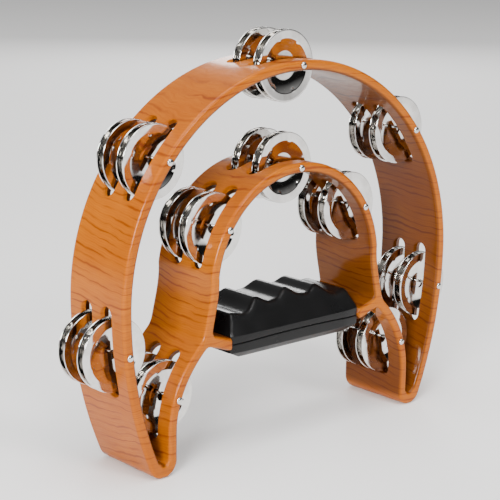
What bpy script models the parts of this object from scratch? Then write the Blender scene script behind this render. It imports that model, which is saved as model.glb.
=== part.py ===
"""Half-moon hand tambourine with a cutaway arch, built as separate named solids.

X runs from the left leg to the right leg, Y from the front rim to the back rim, Z up.
The origin lies between the two feet, on the surface they stand on, midway through the depth.

The moulded frame holds ten nails that run front to back. Each nail crosses two slots in the
strip, and carries a pair of cupped jingles in each slot. A two-part grip closes round the
crossbar that joins the legs. All lengths are in metres.
"""
import math

import bmesh
import bpy
from mathutils import Matrix, Vector

# ---- frame: outer strip -------------------------------------------------------------
DEPTH = 0.048                    # front rim to back rim
OUTER_ARCH_Z = 0.0942            # height of the outer arch's centre
OUTER_ARCH_R = 0.1192            # middle of the outer strip
OUTER_LEG_R = 0.222              # the legs carry on below the arch on this larger radius
OUTER_T = 0.0062                 # thickness of the outer strip
FOOT_R = 0.00912                 # round end of each foot
FOOT_FLAT = 0.004                # width of the flat that a foot stands on
NOTCH_R = 0.0026                 # bottom of the notch between the two strips
NOTCH_Z = 0.0098
NOTCH_START_DEG = -20            # where the outer strip's inner edge runs into the notch
OUTER_ARCH_STEPS = 15
OUTER_LEG_STEPS = 5

# ---- frame: inner strip and crossbar ------------------------------------------------
INNER_ARCH_Z = 0.0960
INNER_ARCH_R = 0.0610            # middle of the inner strip
INNER_T = 0.0058
ARCH_END_DEG = 8.0               # where the inner arch starts to flare out to the crossbar
LEG_Z = 0.0227                   # below this height the inner legs run straight down
LEG_OUT_X = 0.0924               # outside of an inner leg there
LEG_BEND = (0.0382, 0.0227)      # centre about which an inner leg bends
KNEE_OUT = (0.0690, 0.0712)      # corner where leg, crossbar and arch meet, crescent side
BAR_T = 0.0065                   # thickness of the crossbar
BAR_KNEE = (0.0660, 0.0707)      # middle of the crossbar at the knee
BAR_GRIP = (0.0505, 0.0656)      # middle of the crossbar where it enters the grip
BAR_FLAT = (0.0450, 0.0648)      # from here on it is level, inside the grip
BAR_DEPTH_IN_GRIP = 0.038        # the crossbar is narrower inside the grip
BAR_NARROW_X = 0.0494            # and widens to the full depth just outside it
BAR_MEETS_ARCH_X = 0.0622        # where its upper face runs into the inner arch
BAR_MEETS_LEG_X = 0.0652         # where its lower face runs into the leg
INNER_ARCH_STEPS = 12
BEND_STEPS = 6                   # along the bend of an inner leg
FLARE_STEPS = 4                  # along the flare between arch and crossbar

# Handles that pull the edges of the leg's bend and of the flare into their curves.
LEG_OUT_PULL_Z = 0.0400
LEG_IN_PULL_Z = 0.0380
KNEE_LEG_PULL = (0.0853, 0.0565)
BAR_LEG_PULL = (0.0805, 0.0535)
KNEE_ARCH_PULL = (0.0659, 0.0850)
ARCH_OUT_PULL = (0.0627, 0.0940)
ARCH_IN_PULL = (0.0569, 0.0940)
BAR_ARCH_PULL = (0.0600, 0.0850)

EDGE_ROUND = 0.0020              # rounding of every long edge
EDGE_ROUND_DEG = 50              # of the edges sharper than this

# ---- slots and nails ----------------------------------------------------------------
SLOT_LENGTH = 0.0500
SLOT_WIDTH = 0.0094
SLOT_END_STEPS = 5
SLOT_Y = 0.0085                  # slot centres lie this far in front of and behind the middle
SLOT_CUT_IN = 0.0115             # reach of a slot's cutter towards the hollow side
SLOT_CUT_OUT = 0.0070            # and towards the bulging side
NAIL_R = 0.0008
NAIL_HEAD_R = 0.00195
NAIL_HEAD_H = 0.0010
NAIL_HEAD_STEPS = 2
NAIL_SIDES = 8
NAIL_BORE_R = 0.0013
NAIL_BORE_SIDES = 6
NAIL_END_Y = 0.0217              # the nail stops inside the back wall
GAP = 0.0003                     # clearance between neighbouring solids
PAST = 0.002                     # how far a cutter runs past the face it cuts

# Nail positions (x, z). A station at x > 0 is repeated at -x.
STATIONS = {
    "outer_top": (0.0, 0.2134),
    "outer_high": (0.0921, 0.1698),
    "outer_low": (0.1180, 0.0711),
    "inner_top": (0.0, 0.1570),
    "inner_side": (0.0514, 0.1289),
    "leg": (0.0860, 0.0415),
}

# ---- jingles ------------------------------------------------------------------------
JINGLE_R = 0.0200
JINGLE_HOLE_R = 0.0026
JINGLE_FLAT_R = 0.0080           # flat middle
JINGLE_RIM_R = 0.0153            # inner edge of the flat rim
JINGLE_CUP = 0.0020              # depth of the cup
JINGLE_T = 0.0006                # sheet thickness
JINGLE_DROP = 0.0015             # a jingle hangs this far below its nail's axis
JINGLE_BACK = 0.0008             # a pair rests this far behind the middle of its slot
JINGLE_STEPS = 14

# ---- grip ---------------------------------------------------------------------------
PARTING_Z = 0.0656               # where the two halves meet, in the middle
PARTING_BOW = 0.0012             # the parting line is this much lower at the ends
PARTING_STEPS = 4
GRIP_HALF_X = 0.0491             # half length at the parting line
GRIP_TOP_HALF_X = 0.0446         # half length at the shoulders
GRIP_SHOULDER_CUT = 0.0015       # chamfer of the shoulders
GRIP_HALF_Y = 0.0239             # half depth
GRIP_END_HALF_Y = 0.0226         # half depth at the ends, which taper in plan
GRIP_TAPER_X = 0.0360            # the taper starts here
GRIP_TOP_HALF_Y = 0.0134         # half depth along the middle ridge
GRIP_SKIRT_Z = 0.0692            # the front and back faces are upright below this height
GRIP_SHOULDER_Z = 0.0802
GROOVE_Z = 0.0829                # floor of the finger grooves, carried on to the middle
GROOVE_FALL = 0.0038             # the floor of the outermost grooves is this much lower
RIDGE_RISE = 0.0043              # the ridges stand this far above the floor
RIDGE_PINCH = 1.35               # above 1 the ridges are narrower than the grooves
RIDGE_TOP_Z = GROOVE_Z + RIDGE_RISE
FINGER_PITCH = 0.0233
FINGER_STEPS = 8                 # to a groove
GRIP_UNDER_Z = 0.0558
GRIP_CHAMFER_Z = 0.0598          # the lower half is chamfered below this height
GRIP_UNDER_IN_Y = 0.0042         # how far the chamfer runs in from the front and the back
GRIP_UNDER_IN_X = 0.0085         # and from the ends

PARTS = bpy.data.collections.new("half_moon_tambourine")
CUTTERS = bpy.data.collections.new("cutters")


# ---- small helpers ------------------------------------------------------------------
def clear_scene():
    """Remove every object and make the two collections."""
    for item in list(bpy.data.objects):
        bpy.data.objects.remove(item, do_unlink=True)
    bpy.context.scene.collection.children.link(PARTS)
    bpy.context.scene.collection.children.link(CUTTERS)


def make_material(name, colour, roughness, metallic):
    """Plain Principled material."""
    material = bpy.data.materials.new(name)
    material.use_nodes = True
    shader = material.node_tree.nodes["Principled BSDF"]
    shader.inputs["Base Color"].default_value = (*colour, 1.0)
    shader.inputs["Roughness"].default_value = roughness
    shader.inputs["Metallic"].default_value = metallic
    return material


def arc(centre, radius, start_deg, end_deg, steps):
    """Points along an arc, both ends included."""
    points = []
    for i in range(steps + 1):
        a = math.radians(start_deg + (end_deg - start_deg) * i / steps)
        points.append((centre[0] + radius * math.cos(a), centre[1] + radius * math.sin(a)))
    return points


def bezier(p0, p1, p2, p3, steps):
    """Points along a cubic Bezier curve, both ends included."""
    points = []
    for i in range(steps + 1):
        t = i / steps
        weights = ((1 - t) ** 3, 3 * t * (1 - t) ** 2, 3 * t * t * (1 - t), t ** 3)
        points.append(tuple(
            sum(w * p[k] for w, p in zip(weights, (p0, p1, p2, p3))) for k in (0, 1)))
    return points


def joined(*stretches):
    """One list of points from several stretches, without doubled points."""
    points = []
    for stretch in stretches:
        for point in stretch:
            if not points or math.dist(point, points[-1]) > 1e-6:
                points.append(point)
    return points


def mirrored(half):
    """Close a loop whose right half starts and ends on the mirror plane x = 0."""
    left = [(-x, z) for x, z in reversed(half) if x > 1e-6]
    return half + left


def prism(name, loops, half_thickness, turn=Matrix.Identity(4)):
    """Solid between two copies of a flat outline with holes; its first axes are the outline's."""
    curve = bpy.data.curves.new(name, "CURVE")
    curve.dimensions = "2D"
    curve.fill_mode = "BOTH"
    curve.extrude = half_thickness
    for loop in loops:
        spline = curve.splines.new("POLY")
        spline.points.add(len(loop) - 1)
        for point, (u, v) in zip(spline.points, loop):
            point.co = (u, v, 0.0, 1.0)
        spline.use_cyclic_u = True
    holder = bpy.data.objects.new(name + "_outline", curve)
    CUTTERS.objects.link(holder)
    holder.matrix_world = turn
    depsgraph = bpy.context.evaluated_depsgraph_get()
    mesh = bpy.data.meshes.new_from_object(holder.evaluated_get(depsgraph))
    mesh.name = name
    bm = bmesh.new()
    bm.from_mesh(mesh)
    bmesh.ops.remove_doubles(bm, verts=bm.verts, dist=1e-6)
    bmesh.ops.recalc_face_normals(bm, faces=bm.faces)
    bm.to_mesh(mesh)
    bm.free()
    solid = bpy.data.objects.new(name, mesh)
    solid.matrix_world = turn
    bpy.data.objects.remove(holder, do_unlink=True)
    return solid


# The outline's u, v axes become X, Z and its thickness runs along Y.
FACING_FRONT = Matrix.Rotation(math.radians(90), 4, "X")
# The outline's u, v axes become Y, Z and its thickness runs along X.
FACING_SIDE = Matrix(((0, 0, 1, 0), (1, 0, 0, 0), (0, 1, 0, 0), (0, 0, 0, 1)))


def as_part(item, material):
    """Put a finished object among the parts with its material."""
    item.data.materials.clear()
    item.data.materials.append(material)
    PARTS.objects.link(item)
    return item


def as_cutter(item):
    """Put an object among the cutters, which are not part of the model."""
    CUTTERS.objects.link(item)
    item.hide_render = True
    item.display_type = "WIRE"
    return item


def boolean(target, cutter, operation):
    """Boolean modifier with the exact solver."""
    modifier = target.modifiers.new(f"{operation.lower()}_{cutter.name}", "BOOLEAN")
    modifier.solver = "EXACT"
    modifier.operation = operation
    modifier.object = cutter


def bevel(target, width, segments, angle_deg):
    """Round the edges sharper than an angle."""
    modifier = target.modifiers.new("rounded_edges", "BEVEL")
    modifier.width = width
    modifier.segments = segments
    modifier.limit_method = "ANGLE"
    modifier.angle_limit = math.radians(angle_deg)


def joined_cutter(name, meshes):
    """One cutter object from several closed bodies that don't touch."""
    bm = bmesh.new()
    for mesh, matrix in meshes:
        start = len(bm.verts)
        bm.from_mesh(mesh)
        bm.verts.ensure_lookup_table()
        bmesh.ops.transform(bm, matrix=matrix, verts=bm.verts[start:])
    mesh = bpy.data.meshes.new(name)
    bm.to_mesh(mesh)
    bm.free()
    return as_cutter(bpy.data.objects.new(name, mesh))


def box_mesh(name, low, high):
    """Box between two corners."""
    bm = bmesh.new()
    size = [b - a for a, b in zip(low, high)]
    middle = [(a + b) / 2 for a, b in zip(low, high)]
    matrix = Matrix.Translation(middle) @ Matrix.Diagonal((*size, 1.0))
    bmesh.ops.create_cube(bm, size=1.0, matrix=matrix)
    mesh = bpy.data.meshes.new(name)
    bm.to_mesh(mesh)
    bm.free()
    return mesh


def cylinder_y(name, radius, start_y, end_y, sides):
    """Cylinder along Y between two planes."""
    bm = bmesh.new()
    matrix = Matrix.Translation((0, (start_y + end_y) / 2, 0)) @ FACING_FRONT
    bmesh.ops.create_cone(bm, cap_ends=True, segments=sides, radius1=radius, radius2=radius,
                          depth=end_y - start_y, matrix=matrix)
    mesh = bpy.data.meshes.new(name)
    bm.to_mesh(mesh)
    bm.free()
    return mesh


# ---- frame outlines -----------------------------------------------------------------
def leg_centre():
    """Centre of the radius on which the right outer leg runs."""
    return (OUTER_ARCH_R - OUTER_LEG_R, OUTER_ARCH_Z)


def foot_centre():
    """Centre of the right foot's round end, which touches the outer edge of the leg."""
    reach = OUTER_LEG_R + OUTER_T / 2 - FOOT_R
    rise = OUTER_ARCH_Z - FOOT_R
    return (leg_centre()[0] + math.sqrt(reach ** 2 - rise ** 2), FOOT_R)


def bar_line(side):
    """Upper (side = 1) or lower (side = -1) face of the crossbar's right half, outwards."""
    slope = (BAR_KNEE[1] - BAR_GRIP[1]) / (BAR_KNEE[0] - BAR_GRIP[0])
    lift = side * BAR_T / 2
    sloped_lift = lift * math.hypot(1.0, slope)
    meets_x = BAR_MEETS_ARCH_X if side > 0 else BAR_MEETS_LEG_X
    return [
        (BAR_FLAT[0], BAR_FLAT[1] + lift),
        (BAR_GRIP[0], BAR_GRIP[1] + sloped_lift),
        (meets_x, BAR_GRIP[1] + slope * (meets_x - BAR_GRIP[0]) + sloped_lift),
    ]


def outer_arch(side, start_deg, end_deg, steps):
    """Outer (side = 1) or inner (side = -1) edge of the outer strip, along the arch."""
    return arc((0.0, OUTER_ARCH_Z), OUTER_ARCH_R + side * OUTER_T / 2, start_deg, end_deg, steps)


def outside_loop():
    """Outer contour of the frame, feet and underside included."""
    centre = foot_centre()
    leg = leg_centre()
    touch_deg = math.degrees(math.atan2(centre[1] - leg[1], centre[0] - leg[0]))
    flat_deg = math.degrees(math.asin(FOOT_FLAT / 2 / FOOT_R))
    under = bar_line(-1)
    inside_x = centre[0] - FOOT_R
    half = joined(
        outer_arch(1, 90, 0, OUTER_ARCH_STEPS),
        arc(leg, OUTER_LEG_R + OUTER_T / 2, 0, touch_deg, OUTER_LEG_STEPS),
        arc(centre, FOOT_R, touch_deg, -90 + flat_deg, 4),
        arc(centre, FOOT_R, -90 - flat_deg, -180, 5),
        bezier((inside_x, LEG_Z), (inside_x, LEG_IN_PULL_Z), BAR_LEG_PULL, under[-1], BEND_STEPS),
        reversed(under),
    )
    low = min(z for _, z in half)
    return mirrored([(x, z - low) for x, z in half])


def crescent_loop():
    """Gap between the outer and the inner strip."""
    leg = leg_centre()
    radius = OUTER_LEG_R - OUTER_T / 2
    notch_x = LEG_OUT_X + NOTCH_R
    wall_deg = math.degrees(math.asin((NOTCH_Z - leg[1]) / radius))
    arch_edge = INNER_ARCH_R + INNER_T / 2
    arch_end = arc((0.0, INNER_ARCH_Z), arch_edge, ARCH_END_DEG, ARCH_END_DEG, 1)[0]
    half = joined(
        outer_arch(-1, 90, 0, OUTER_ARCH_STEPS),
        arc(leg, radius, 0, wall_deg, OUTER_LEG_STEPS),
        arc((notch_x, NOTCH_Z), NOTCH_R, NOTCH_START_DEG, -180, 4),
        bezier((LEG_OUT_X, LEG_Z), (LEG_OUT_X, LEG_OUT_PULL_Z), KNEE_LEG_PULL, KNEE_OUT,
               BEND_STEPS),
        bezier(KNEE_OUT, KNEE_ARCH_PULL, ARCH_OUT_PULL, arch_end, FLARE_STEPS),
        arc((0.0, INNER_ARCH_Z), arch_edge, ARCH_END_DEG, 90, INNER_ARCH_STEPS),
    )
    return mirrored(half)


def finger_loop():
    """Opening under the inner arch, above the crossbar."""
    arch_edge = INNER_ARCH_R - INNER_T / 2
    arch_end = arc((0.0, INNER_ARCH_Z), arch_edge, ARCH_END_DEG, ARCH_END_DEG, 1)[0]
    top = bar_line(1)
    half = joined(
        arc((0.0, INNER_ARCH_Z), arch_edge, 90, ARCH_END_DEG, INNER_ARCH_STEPS),
        bezier(arch_end, ARCH_IN_PULL, BAR_ARCH_PULL, top[-1], FLARE_STEPS),
        reversed(top),
    )
    return mirrored(half)


# ---- stations -----------------------------------------------------------------------
def all_stations():
    """Name, nail position and outward direction of each of the ten stations."""
    rows = []
    for name, (x, z) in STATIONS.items():
        for side, word in ((-1, "left_"), (1, "right_")):
            if x == 0.0 and side < 0:
                continue
            prefix = "" if x == 0.0 else word
            rows.append((prefix + name, (side * x, z), outward(name, side)))
    return rows


def outward(name, side):
    """Direction square to the strip at a station, away from its hollow side."""
    x, z = STATIONS[name]
    if name == "outer_low":
        centre = leg_centre()
    elif name.startswith("outer"):
        centre = (0.0, OUTER_ARCH_Z)
    elif name == "leg":
        centre = LEG_BEND
    else:
        centre = (0.0, INNER_ARCH_Z)
    direction = Vector((x - centre[0], 0.0, z - centre[1])).normalized()
    return Vector((side * direction.x, 0.0, direction.z))


def slot_outline():
    """Slot seen square to the strip: u along the strip, v along the depth."""
    radius = SLOT_WIDTH / 2
    straight = SLOT_LENGTH / 2 - radius
    return joined(arc((straight, 0.0), radius, -90, 90, SLOT_END_STEPS),
                  arc((-straight, 0.0), radius, 90, 270, SLOT_END_STEPS))


def slot_cutters():
    """Cutter of all twenty slots."""
    half = (SLOT_CUT_IN + SLOT_CUT_OUT) / 2
    shift = (SLOT_CUT_OUT - SLOT_CUT_IN) / 2
    stadium = prism("slot", [slot_outline()], half)
    meshes = []
    for _, (x, z), normal in all_stations():
        along = Vector((0.0, 1.0, 0.0)).cross(normal)
        for y in (-SLOT_Y, SLOT_Y):
            place = Matrix((
                (along.x, 0.0, normal.x, x + shift * normal.x),
                (along.y, 1.0, normal.y, y),
                (along.z, 0.0, normal.z, z + shift * normal.z),
                (0.0, 0.0, 0.0, 1.0),
            ))
            meshes.append((stadium.data, place))
    cutter = joined_cutter("slots", meshes)
    bpy.data.objects.remove(stadium, do_unlink=True)
    return cutter


def bore_cutters():
    """Cutter of the ten nail bores, blind at the back."""
    bore = cylinder_y("bore", NAIL_BORE_R, -DEPTH / 2 - PAST, NAIL_END_Y + GAP, NAIL_BORE_SIDES)
    places = [(bore, Matrix.Translation((x, 0.0, z))) for _, (x, z), _ in all_stations()]
    return joined_cutter("nail_bores", places)


def bar_relief_cutters():
    """Cutter that narrows the crossbar inside the grip."""
    low_z = BAR_FLAT[1] - BAR_T
    high_z = BAR_KNEE[1] + BAR_T
    meshes = []
    for side in (-1, 1):
        ends = sorted((side * BAR_DEPTH_IN_GRIP / 2, side * (DEPTH / 2 + PAST)))
        relief = box_mesh("relief", (-BAR_NARROW_X, ends[0], low_z), (BAR_NARROW_X, ends[1], high_z))
        meshes.append((relief, Matrix.Identity(4)))
    return joined_cutter("crossbar_relief", meshes)


def build_frame(material):
    """Moulded frame: both arches, legs, feet and crossbar in one piece."""
    frame = prism("frame", [outside_loop(), crescent_loop(), finger_loop()], DEPTH / 2,
                  FACING_FRONT)
    bevel(frame, EDGE_ROUND, 2, EDGE_ROUND_DEG)
    boolean(frame, bar_relief_cutters(), "DIFFERENCE")
    boolean(frame, slot_cutters(), "DIFFERENCE")
    boolean(frame, bore_cutters(), "DIFFERENCE")
    return as_part(frame, material)


# ---- turned pieces ------------------------------------------------------------------
def turned(name, profile, steps):
    """Solid of revolution about local Z from a closed profile of (radius, height) points."""
    mesh = bpy.data.meshes.new(name)
    bm = bmesh.new()
    verts = [bm.verts.new((r, 0.0, h)) for r, h in profile]
    closed = min(r for r, _ in profile) > 1e-9
    pairs = list(zip(verts, verts[1:])) + ([(verts[-1], verts[0])] if closed else [])
    for a, b in pairs:
        bm.edges.new((a, b))
    bm.to_mesh(mesh)
    bm.free()
    item = bpy.data.objects.new(name, mesh)
    screw = item.modifiers.new("turned", "SCREW")
    screw.axis = "Z"
    screw.steps = steps
    screw.render_steps = steps
    screw.use_merge_vertices = True
    screw.merge_threshold = 1e-5
    screw.use_smooth_shade = True
    return item


def nail_profile():
    """Domed head and straight shank, from the tip of the head down to the end of the shank."""
    length = NAIL_END_Y + DEPTH / 2
    head = []
    for i in range(NAIL_HEAD_STEPS + 1):
        a = math.radians(90 * i / NAIL_HEAD_STEPS)
        head.append((NAIL_HEAD_R * math.sin(a), GAP + NAIL_HEAD_H * math.cos(a)))
    return head + [(NAIL_R, GAP), (NAIL_R, -length), (0.0, -length)]


def jingle_profile():
    """Cupped disc, its cup opening towards +Z, outer side first and from the top down."""
    set_in = JINGLE_T / 4        # the sloping wall is as thick as the rest
    rim_top = JINGLE_CUP + JINGLE_T
    return [
        (JINGLE_R, rim_top),
        (JINGLE_R, JINGLE_CUP),
        (JINGLE_RIM_R, JINGLE_CUP),
        (JINGLE_FLAT_R, 0.0),
        (JINGLE_HOLE_R, 0.0),
        (JINGLE_HOLE_R, JINGLE_T),
        (JINGLE_FLAT_R - set_in, JINGLE_T),
        (JINGLE_RIM_R - set_in, rim_top),
    ]


def build_nails(material):
    """One nail at each station, head at the front."""
    for name, (x, z), _ in all_stations():
        nail = turned("nail_" + name, nail_profile(), NAIL_SIDES)
        nail.rotation_euler = (math.radians(90), 0.0, 0.0)
        nail.location = (x, -DEPTH / 2, z)
        as_part(nail, material)


def build_jingles(material):
    """Four jingles on each nail, numbered from the front: two pairs, back to back."""
    base = turned("jingle", jingle_profile(), JINGLE_STEPS)
    for name, (x, z), _ in all_stations():
        number = 0
        for slot_y in (-SLOT_Y, SLOT_Y):
            for facing in (-1, 1):
                number += 1
                jingle = base.copy()
                jingle.name = f"jingle_{name}_{number}"
                y = slot_y + JINGLE_BACK + facing * GAP / 2
                jingle.location = (x, y, z - JINGLE_DROP)
                jingle.rotation_euler = (math.radians(-90 * facing), 0.0, 0.0)
                PARTS.objects.link(jingle)
    base.data.materials.append(material)
    bpy.data.objects.remove(base, do_unlink=True)


# ---- grip ---------------------------------------------------------------------------
def finger_height(x):
    """Height of the grip's top at a distance from its middle."""
    last_groove = 1.5 * FINGER_PITCH
    if abs(x) <= last_groove:
        wave = (1 + math.cos(2 * math.pi * x / FINGER_PITCH)) / 2
        floor = GROOVE_Z - GROOVE_FALL * (x / last_groove) ** 2
        return floor + RIDGE_RISE * wave ** RIDGE_PINCH
    shoulder_x = GRIP_TOP_HALF_X - GRIP_SHOULDER_CUT
    t = min(1.0, (abs(x) - last_groove) / (shoulder_x - last_groove))
    lowest = GROOVE_Z - GROOVE_FALL
    return lowest + (GRIP_SHOULDER_Z - lowest) * (1 - math.cos(math.pi * t)) / 2


def parting_line(lift):
    """Bowed line between the two grip halves, from the right end to the middle."""
    points = []
    for i in range(PARTING_STEPS + 1):
        share = 1 - i / PARTING_STEPS
        points.append((GRIP_HALF_X * share, PARTING_Z - PARTING_BOW * share ** 2 + lift))
    return points


def grip_front_loop():
    """Upper grip seen from the front: sloping ends and the finger grooves."""
    step = FINGER_PITCH / FINGER_STEPS
    count = int(GRIP_TOP_HALF_X / step)
    top = [(i * step, finger_height(i * step)) for i in range(count)]
    shoulder = [(GRIP_TOP_HALF_X - GRIP_SHOULDER_CUT, GRIP_SHOULDER_Z),
                (GRIP_TOP_HALF_X, GRIP_SHOULDER_Z - GRIP_SHOULDER_CUT)]
    end = [(GRIP_HALF_X, GRIP_SKIRT_Z)]
    return mirrored(joined(top, shoulder, end, parting_line(GAP / 2)))


def grip_side_loop():
    """Upper grip seen from the side: upright skirt, then faces that lean in to the ridges."""
    slope = (GRIP_HALF_Y - GRIP_TOP_HALF_Y) / (RIDGE_TOP_Z - GRIP_SKIRT_Z)
    return mirrored([
        (GRIP_TOP_HALF_Y - slope * PAST, RIDGE_TOP_Z + PAST),
        (GRIP_HALF_Y, GRIP_SKIRT_Z),
        (GRIP_HALF_Y, PARTING_Z - PARTING_BOW - PAST),
    ])


def grip_plan_loop():
    """Both halves seen from above: the ends taper. Its middle stretch cuts nothing."""
    slope = (GRIP_HALF_Y - GRIP_END_HALF_Y) / (GRIP_HALF_X - GRIP_TAPER_X)
    near_x, far_x = GRIP_TAPER_X / 2, GRIP_HALF_X + PAST
    near_y = GRIP_HALF_Y + slope * (GRIP_TAPER_X - near_x)
    far_y = GRIP_END_HALF_Y - slope * PAST
    return mirrored([(near_x, near_y), (far_x, far_y), (far_x, -far_y), (near_x, -near_y)])


def under_front_loop():
    """Lower grip seen from the front: bowed top, underside chamfered towards the ends."""
    under = [(GRIP_HALF_X - GRIP_UNDER_IN_X, GRIP_UNDER_Z), (GRIP_HALF_X, GRIP_CHAMFER_Z)]
    return mirrored(joined(under, parting_line(-GAP / 2)))


def under_side_loop():
    """Lower grip seen from the side: it trims the chamfers and runs past top and bottom."""
    slope = GRIP_UNDER_IN_Y / (GRIP_CHAMFER_Z - GRIP_UNDER_Z)
    return mirrored([
        (GRIP_HALF_Y, PARTING_Z + PAST),
        (GRIP_HALF_Y, GRIP_CHAMFER_Z),
        (GRIP_HALF_Y - GRIP_UNDER_IN_Y - slope * PAST, GRIP_UNDER_Z - PAST),
    ])


def bar_room_cutter():
    """The crossbar inside the grip, grown by the clearance."""
    top = bar_line(1)
    under = bar_line(-1)
    half = [(x, z + GAP) for x, z in top] + [(x, z - GAP) for x, z in reversed(under)]
    return as_cutter(prism("bar_room", [mirrored(half)], BAR_DEPTH_IN_GRIP / 2 + GAP,
                           FACING_FRONT))


def build_grip(material):
    """Two grip halves that meet at the parting line, round the crossbar."""
    room = bar_room_cutter()
    plan = as_cutter(prism("grip_plan", [grip_plan_loop()], RIDGE_TOP_Z + PAST))
    halves = (("grip_upper", grip_front_loop(), grip_side_loop()),
              ("grip_lower", under_front_loop(), under_side_loop()))
    for name, front_loop, side_loop in halves:
        half = prism(name, [front_loop], GRIP_HALF_Y + PAST, FACING_FRONT)
        side = as_cutter(prism(name + "_side", [side_loop], GRIP_HALF_X + PAST, FACING_SIDE))
        boolean(half, side, "INTERSECT")
        boolean(half, plan, "INTERSECT")
        boolean(half, room, "DIFFERENCE")
        as_part(half, material)


def main():
    """Build the whole tambourine."""
    clear_scene()
    wood = make_material("wood_look_plastic", (0.56, 0.22, 0.05), 0.25, 0.0)
    black = make_material("black_plastic", (0.02, 0.02, 0.022), 0.45, 0.0)
    steel = make_material("plated_steel", (0.80, 0.79, 0.77), 0.12, 1.0)
    build_frame(wood)
    build_grip(black)
    build_nails(steel)
    build_jingles(steel)


main()
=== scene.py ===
"""Looks of a half-moon hand tambourine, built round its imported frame.

X runs from the left leg to the right leg, Y from the front rim to the back rim, Z up, in metres.
Each sub-assembly is a class that makes its own meshes, and each finish is a class that makes its
own material: a glossy moulded frame with a printed wood grain, a satin black grip in two halves,
ten nails, and forty pressed jingles that slide on them.
"""
import logging
import math
import random
from dataclasses import dataclass, field
from enum import Enum

import bmesh
import bpy
from mathutils import Matrix, Vector
from mathutils.bvhtree import BVHTree
from mathutils.geometry import tessellate_polygon
from mathutils.interpolate import poly_3d_calc


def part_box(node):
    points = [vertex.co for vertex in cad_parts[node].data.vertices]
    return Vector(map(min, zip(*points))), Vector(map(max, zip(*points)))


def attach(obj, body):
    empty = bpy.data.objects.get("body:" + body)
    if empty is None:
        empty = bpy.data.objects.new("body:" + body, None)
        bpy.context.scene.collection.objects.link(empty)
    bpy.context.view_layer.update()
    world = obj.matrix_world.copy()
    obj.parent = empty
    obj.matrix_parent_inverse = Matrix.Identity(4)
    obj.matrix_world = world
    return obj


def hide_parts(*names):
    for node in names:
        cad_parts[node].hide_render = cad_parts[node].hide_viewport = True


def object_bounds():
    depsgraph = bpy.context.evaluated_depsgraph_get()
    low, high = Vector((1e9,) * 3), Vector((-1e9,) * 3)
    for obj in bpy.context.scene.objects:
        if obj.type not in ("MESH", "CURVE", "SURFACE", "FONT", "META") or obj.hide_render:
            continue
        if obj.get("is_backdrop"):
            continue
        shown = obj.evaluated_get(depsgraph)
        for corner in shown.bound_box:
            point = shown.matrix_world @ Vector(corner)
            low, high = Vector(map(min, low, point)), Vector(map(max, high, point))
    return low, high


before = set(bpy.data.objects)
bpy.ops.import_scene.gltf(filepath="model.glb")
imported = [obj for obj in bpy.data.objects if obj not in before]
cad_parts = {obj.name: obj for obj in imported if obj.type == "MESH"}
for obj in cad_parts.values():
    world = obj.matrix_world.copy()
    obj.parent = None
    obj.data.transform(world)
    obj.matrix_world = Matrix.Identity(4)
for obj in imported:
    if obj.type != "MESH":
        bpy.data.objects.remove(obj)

LOG = logging.getLogger("tambourine")

Point = tuple[float, float]
Colour = tuple[float, float, float]


class Slot(Enum):
    """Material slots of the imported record."""

    WOOD = "wood_look"
    GRIP = "grip"
    NAIL = "nail"
    JINGLE = "jingle"


class Facing(Enum):
    """Way that a jingle's cup opens along Y."""

    FRONT = -1
    BACK = 1


# ---- outlines -----------------------------------------------------------------------
def arc(centre: Point, radius: float, start_deg: float, end_deg: float, steps: int) -> list[Point]:
    """Points along an arc.

    Args:
        centre: Centre of the arc.
        radius: Its radius.
        start_deg: Angle of the first point.
        end_deg: Angle of the last point.
        steps: Number of steps between them.

    Returns:
        The points, both ends included.
    """
    points = []
    for i in range(steps + 1):
        a = math.radians(start_deg + (end_deg - start_deg) * i / steps)
        points.append((centre[0] + radius * math.cos(a), centre[1] + radius * math.sin(a)))
    return points


def bezier(p0: Point, p1: Point, p2: Point, p3: Point, steps: int) -> list[Point]:
    """Points along a cubic Bezier curve.

    Args:
        p0: First end.
        p1: Handle of the first end.
        p2: Handle of the last end.
        p3: Last end.
        steps: Number of steps between the ends.

    Returns:
        The points, both ends included.
    """
    points = []
    for i in range(steps + 1):
        t = i / steps
        weights = ((1 - t) ** 3, 3 * t * (1 - t) ** 2, 3 * t * t * (1 - t), t ** 3)
        x, z = (sum(w * p[k] for w, p in zip(weights, (p0, p1, p2, p3))) for k in (0, 1))
        points.append((x, z))
    return points


def joined(*stretches: list[Point]) -> list[Point]:
    """Join stretches of an outline into one.

    Args:
        stretches: Lists of points, in order.

    Returns:
        One list without doubled points.
    """
    points: list[Point] = []
    for stretch in stretches:
        for point in stretch:
            if not points or math.dist(point, points[-1]) > 1e-6:
                points.append(point)
    return points


def mirrored(half: list[Point]) -> list[Point]:
    """Close a loop from its right half.

    Args:
        half: Points from the mirror plane x = 0 back to it.

    Returns:
        The whole loop.
    """
    return half + [(-x, z) for x, z in reversed(half) if x > 1e-6]


def along(points: list[Point], corner: int, reach: float, way: int) -> tuple[int, Point]:
    """Walk from a corner of an outline.

    Args:
        points: The outline.
        corner: Index of the corner.
        reach: Distance to walk.
        way: 1 forwards or -1 backwards.

    Returns:
        Index of the first point beyond the place reached, and that place.
    """
    left = reach
    i = corner
    while 0 <= i + way < len(points):
        length = math.dist(points[i], points[i + way])
        if length >= left:
            t = left / length
            a, b = points[i], points[i + way]
            return i + way, (a[0] + (b[0] - a[0]) * t, a[1] + (b[1] - a[1]) * t)
        left -= length
        i += way
    return i, points[i]


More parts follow.
